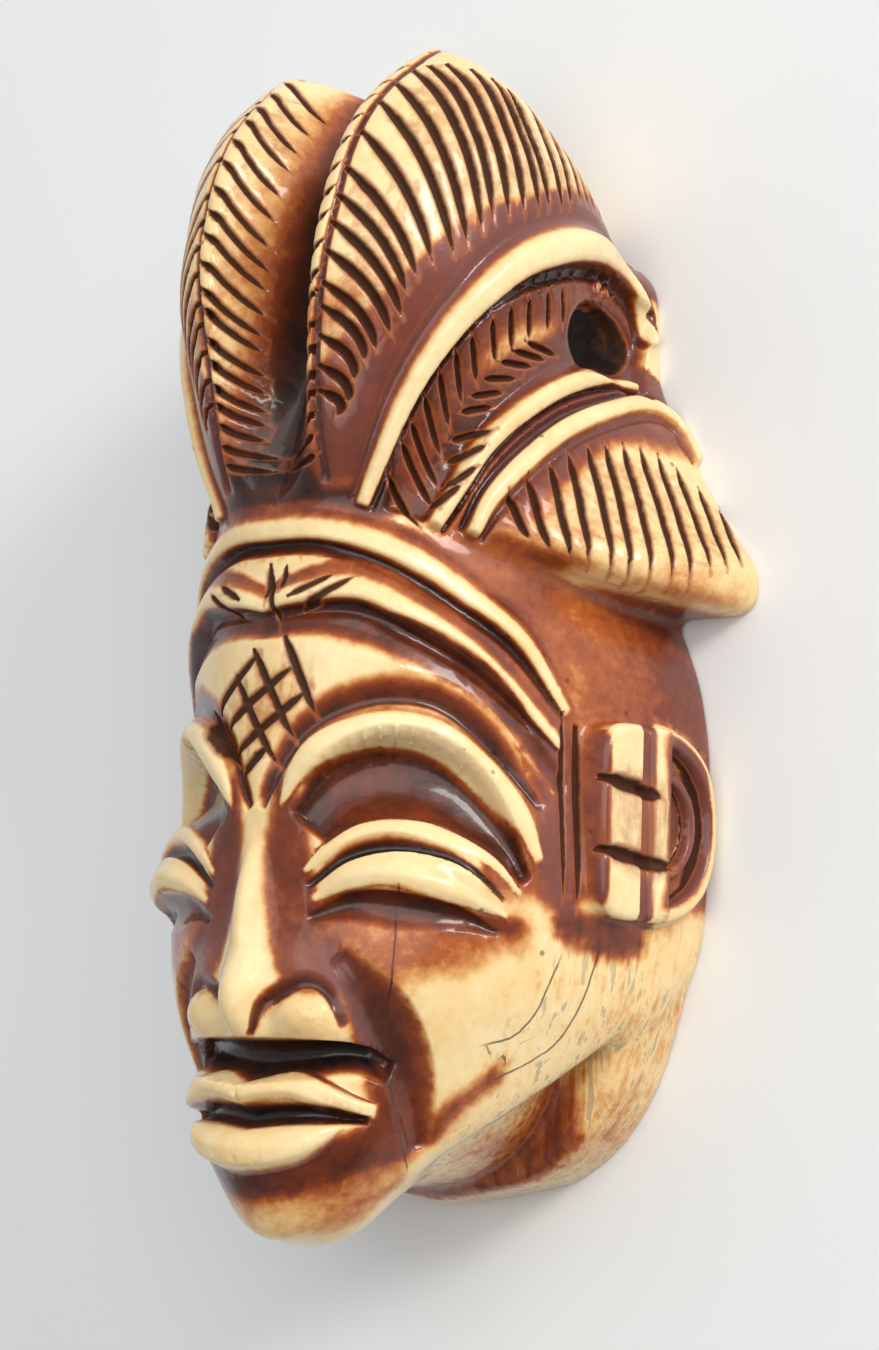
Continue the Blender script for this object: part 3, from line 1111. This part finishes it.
# the side bun: cream down to its lower edge, purple-brown along its top
above_floor = y - BUN_UNDERSIDE_Y - bun_rise(z)
bun_edge = 10.7 + 8.6 * fade((24.2 - z) / 15)
bun_here = fade((a - 15) / 2) * (fan_radius < 18)
stain = lay(stain, 0.68, fade((y - bun_edge + 0.8) / 2.2) * bun_here)
purple = lay(purple, 0.7, fade((y - bun_edge) / 2) * bun_here)
bun_side = rounded(a, z, shell_width(y), shell_height(y), shell_power(y))
bun_under = fade((bun_side + 4.5) / 1.5) * fade((20 - z) / 5) * fade((above_floor + 0.7) / 0.4)
bun_cream = np.maximum(fade((above_floor - 0.35) / 0.7), bun_under)
stain = lay(stain, 0.2, fade((bun_edge - y) / 2) * bun_cream * fade((a - 16) / 2))
tint(0.4, 2, (23.6, 6, 16.5, 0.4), (27, 5, 10.5, 0.6), (30.2, 4.6, 4, 0.8), least=True)
tint(0.5, 2, (18.2, 10.5, 24.6, 1), (20.6, 8.4, 21.5, 0.8), (23.4, 6.2, 17, 0.3))

# along the carver's lines, and the patches that lie over them
for painted in (coiffure_bands, headbands, eye_hollows, lids, mouth_hollows):
    stain = paint_along(stain, a, y, z, painted)
tint(0.24, 1.4, (16, 23.5, 26.5, 0.9), (18, 27.5, 22.6, 1.3), (19.2, 29.6, 17.5, 1.1))
nose_top = fade(-nose_form(a, y, z) + 0.6) * fade((-22 - y) / 3) * fade((y + 38.4) / 0.6)
bridge = smear(x, y, z, [(0, -15, 37, 1), (0.2, -24, 38, 0.7), (0, -29, 39, 0.9), (-0.2, -33, 40, 1.3),
                         (-0.3, -37, 38, 1.7)], 1.4)
stain = lay(stain, 0.14, np.maximum(nose_top * fade((-33.6 - y) / 0.8), bridge * (y < -16)))
stain = paint_along(stain, a, y, z, nose_creases)
stain = paint_along(stain, a, y, z, lips)
stain = paint_along(stain, a, y, z, ridge_lines)

# the ears: cream columns and outer rim, purple-brown ground
ear_near = fade((0.7 - ear_form(a, y, z)) / 0.4) * fade(a - 24)
sunk = ear_sunk(y, z)
ring = ear_ring(y, z)
on_face = fade((a - ear_face(z) + 1.1 + sunk) / 0.5)
columns = on_face * fade((z - COLUMN_BACK_Z - 0.1) / 0.4) * fade((COLUMN_FRONT_Z - z) / 0.6)
columns = columns * fade((0.4 - sunk) / 0.3)
outer_rim = fade((ring - 0.84 - 0.08 * fade((y + 14) / 3)) / 0.06) * fade((COLUMN_BACK_Z + 0.4 - z) / 0.8)
stain = lay(stain, 0.66, ear_near)
purple = lay(purple, 0.9, ear_near)
stain = lay(stain, 0.92, ear_near * fade((COLUMN_BACK_Z - z) / 0.5) * fade((sunk - 0.6) / 0.8))
stain = lay(stain, 0.08, ear_near * np.maximum(columns, outer_rim))

depth = np.maximum(stroke_depth(a, y, z, coiffure_strokes), stroke_depth(x, y, z, middle_strokes))
depth = np.maximum(depth, stroke_depth(a, y, z, ear_cuts + strap_lines))
ear_dark = ear_near * fade((COLUMN_BACK_Z + 0.2 - z) / 0.5) * fade((sunk - 0.7) / 0.7)
depth = np.maximum(depth, ear_dark * 1.6 - 1)
bore = fade((HOLE_RADIUS + 0.5 - np.hypot(y - HOLE_Y, z - HOLE_Z)) / 0.8)
scoop = fade(0.7 - egg(a, y, z, HOLE_SCOOP, SCOOP_RADII) / 0.8) * fade((a - 14) / 2)
hole_dark = np.maximum(bore, scoop)
stain = lay(stain, 1.1, hole_dark)
depth = np.maximum(depth, hole_dark * 2 - 1)
grain = fade((-22 - y) / 12) * fade((26 - z) / 8)

# fine cracks, each as the distance to one side of it and how near it is
CRACKS = [
    [(13.1, -24.5, 31.8), (12.5, -32.5, 31.5), (11.6, -36.2, 31), (11.6, -43.3, 29.5), (10.9, -49.5, 26)],
    [(22, -30.3, 18.9), (19.6, -36.6, 20.8), (17.7, -38, 23.5)],
    [(23.5, -28.9, 14.5), (20.8, -37.3, 16.5), (17.4, -41.1, 21.1)],
]
CRACK_REACH = 1.3
FAR_FROM_CRACK = 9.0
crack_side = np.full(len(p), FAR_FROM_CRACK)
crack_near = np.zeros(len(p))
for crack in (Carving(points, [(-CRACK_REACH, 0), (CRACK_REACH, 0)]) for points in CRACKS):
    near, offset, share, end = crack.locate(a, y, z)
    closer = np.abs(offset) < np.abs(crack_side[near])
    crack_side[near[closer]] = offset[closer]
    crack_near[near[closer]] = (end * fade((CRACK_REACH - np.abs(offset)) / 0.5))[closer]

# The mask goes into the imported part's frame in metres, and stays inside its box
MM_PER_METRE = 1000
solid_low, solid_high = (np.array(corner) * MM_PER_METRE for corner in cad_box)
placed = p + [0, FRAME_SHIFT_Y, 0]
reach = np.maximum(np.maximum(placed.max(0) / solid_high, placed.min(0) / np.minimum(solid_low, -1)), 1)
placed = placed / reach / MM_PER_METRE
mask.data.vertices.foreach_set("co", np.maximum(placed, [-1, -1, 0]).astype(np.float32).ravel())
shades = {"stain": stain, "purple": purple, "stroke": depth, "grain": grain,
          "crack_side": crack_side, "crack_near": crack_near}
for name, amount in shades.items():
    layer = mask.data.attributes.new(name, "FLOAT", "POINT")
    layer.data.foreach_set("value", amount.astype(np.float32))
mask.data.update()
bpy.ops.object.shade_smooth()

# The finish of the bone
# Cream bone with honey-coloured edges where the stain thins out, red-brown to purple-brown stain, near-black
# dirt in the strokes, and a wax polish worn smooth by handling.
bone = bpy.data.materials.new("stained_bone")
bone.use_nodes = True
nodes = bone.node_tree.nodes
links = bone.node_tree.links
shader = nodes["Principled BSDF"]


def node(kind, settings=(), **inputs):
    """A new node, its settings, and its inputs by name: an output is linked, and anything else is set."""
    made = nodes.new(kind)
    for name, value in settings:
        setattr(made, name, value)
    for name, value in inputs.items():
        socket = made.inputs[int(name[1:])] if name[0] == "i" and name[1:].isdigit() else made.inputs[name]
        if isinstance(value, bpy.types.NodeSocket):
            links.new(value, socket)
        else:
            socket.default_value = value
    return made


def attribute(name):
    return node("ShaderNodeAttribute", [("attribute_name", name)]).outputs["Fac"]


def sums(operation, a, b, c=0.0):
    return node("ShaderNodeMath", [("operation", operation)], i0=a, i1=b, i2=c).outputs[0]


def between(value, low, high, start=0.0, end=1.0):
    made = node("ShaderNodeMapRange", [("interpolation_type", "SMOOTHSTEP")], Value=value)
    for name, number in (("From Min", low), ("From Max", high), ("To Min", start), ("To Max", end)):
        made.inputs[name].default_value = number
    return made.outputs["Result"]


def blend(factor, a, b):
    made = node("ShaderNodeMix", [("data_type", "RGBA")], Factor=factor)
    for name, value in (("A", a), ("B", b)):
        if isinstance(value, bpy.types.NodeSocket):
            links.new(value, made.inputs[name])
        else:
            made.inputs[name].default_value = value
    return made.outputs["Result"]


place = node("ShaderNodeTexCoord").outputs["Object"]


def noise(scale, detail=3.0, stretch=(1, 1, 1), rough=0.5):
    moved = node("ShaderNodeMapping", Vector=place, Scale=stretch).outputs["Vector"]
    made = node("ShaderNodeTexNoise", Vector=moved, Scale=scale, Detail=detail, Roughness=rough)
    return made.outputs["Fac"]


def colour(red, green, blue):
    """A colour as the eye names it, 0 to 255, in the renderer's own values."""
    return (*[((c / 255 + 0.055) / 1.055) ** 2.4 for c in (red, green, blue)], 1)


CREAM = colour(247, 224, 172)
WARM_CREAM = colour(240, 204, 142)
HONEY = colour(214, 152, 88)
ORANGE_BROWN = colour(172, 90, 40)
RED_BROWN = colour(124, 54, 26)
DARK_BROWN = colour(74, 34, 20)
NEAR_BLACK = colour(40, 27, 22)
STROKE_BROWN = colour(62, 36, 27)
PURPLE_BROWN = colour(124, 72, 64)
DIRT_BLACK = colour(22, 16, 14)
BROAD_MOTTLE = 0.34
MIDDLING_MOTTLE = 0.28
FINE_MOTTLE = 0.26
GRAIN_MOTTLE = 0.7
POLISHED_ROUGHNESS = 0.3
DIRTY_ROUGHNESS = 0.7
WAX_COAT = 0.6
WAX_IOR = 1.36
WAX_ROUGHNESS = 0.07
GLOW_WEIGHT = 0.06
GLOW_RADIUS = (0.0022, 0.0012, 0.0007)
DENT_STRENGTH = 0.25
DENT_DEPTH = 0.0004

broad = sums("SUBTRACT", noise(120, 4), 0.5)
middling = sums("SUBTRACT", noise(330, 4, rough=0.6), 0.5)
fine = sums("SUBTRACT", noise(900, 4, rough=0.65), 0.5)
along = sums("SUBTRACT", noise(420, 3, (2.4, 0.13, 2.4), 0.6), 0.5)
stained = sums("MULTIPLY_ADD", broad, BROAD_MOTTLE, attribute("stain"))
stained = sums("MULTIPLY_ADD", middling, MIDDLING_MOTTLE, stained)
stained = sums("MULTIPLY_ADD", fine, FINE_MOTTLE, stained)
stained = sums("MULTIPLY_ADD", sums("MULTIPLY", along, attribute("grain")), GRAIN_MOTTLE, stained)

ramp = nodes.new("ShaderNodeValToRGB")
stops = [(0, CREAM), (0.2, WARM_CREAM), (0.35, HONEY), (0.48, ORANGE_BROWN), (0.64, RED_BROWN),
         (0.84, DARK_BROWN), (1, NEAR_BLACK)]
for position, tone in stops[1:-1]:
    ramp.color_ramp.elements.new(position)
for element, (position, tone) in zip(ramp.color_ramp.elements, stops):
    element.position = position
    element.color = tone
links.new(stained, ramp.inputs["Fac"])
tone = ramp.outputs["Color"]
in_stain = between(stained, 0.4, 0.62)
tone = blend(sums("MULTIPLY", sums("MULTIPLY", attribute("purple"), in_stain), 0.7), tone, PURPLE_BROWN)
ragged = sums("MULTIPLY_ADD", fine, 0.5, attribute("stroke"))
halo = between(ragged, -0.4, 0.2)
tone = blend(sums("MULTIPLY", halo, 0.7), tone, ORANGE_BROWN)
cut = between(ragged, 0.1, 0.5)
tone = blend(sums("MULTIPLY", cut, 0.94), tone, STROKE_BROWN)
tone = blend(between(stained, 0.9, 1.1), tone, DIRT_BLACK)

# cracks, thin dark streaks along the grain, and small dark specks
crack_line = sums("ABSOLUTE", sums("MULTIPLY_ADD", middling, 0.5, attribute("crack_side")), 0.0)
crack_line = sums("MULTIPLY", between(crack_line, 0.16, 0.05), attribute("crack_near"))
split = sums("MULTIPLY", between(along, -0.06, -0.13), attribute("grain"))
pits = node("ShaderNodeTexVoronoi", Vector=place, Scale=420.0)
picked = between(node("ShaderNodeSeparateColor", Color=pits.outputs["Color"]).outputs[0], 0.86, 0.9)
speck = sums("MULTIPLY", between(pits.outputs["Distance"], 0.16, 0.06), picked)
marks = sums("MAXIMUM", crack_line, sums("MULTIPLY", split, 0.5))
marks = sums("MAXIMUM", marks, sums("MULTIPLY", speck, 0.8))
tone = blend(sums("MULTIPLY", marks, 0.85), tone, DARK_BROWN)
links.new(tone, shader.inputs["Base Color"])

# the polish, which the strokes have lost
rough = between(cut, 0, 1, POLISHED_ROUGHNESS, DIRTY_ROUGHNESS)
links.new(sums("MULTIPLY_ADD", fine, 0.12, rough), shader.inputs["Roughness"])
links.new(between(cut, 0, 1, WAX_COAT, 0), shader.inputs["Coat Weight"])
links.new(between(cut, 0, 1, 0.28, 0.1), shader.inputs["Specular IOR Level"])
shader.inputs["Coat IOR"].default_value = WAX_IOR
shader.inputs["Coat Roughness"].default_value = WAX_ROUGHNESS
shader.inputs["Subsurface Weight"].default_value = GLOW_WEIGHT
shader.inputs["Subsurface Radius"].default_value = GLOW_RADIUS
shader.inputs["Subsurface Scale"].default_value = 1
uneven = sums("MULTIPLY_ADD", fine, 0.3, broad)
dents = node("ShaderNodeBump", Height=sums("MULTIPLY_ADD", middling, 0.4, uneven))
dents.inputs["Strength"].default_value = DENT_STRENGTH
dents.inputs["Distance"].default_value = DENT_DEPTH
links.new(dents.outputs["Normal"], shader.inputs["Normal"])

mask.data.materials.append(bone)
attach(mask, "root")
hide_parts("mask")
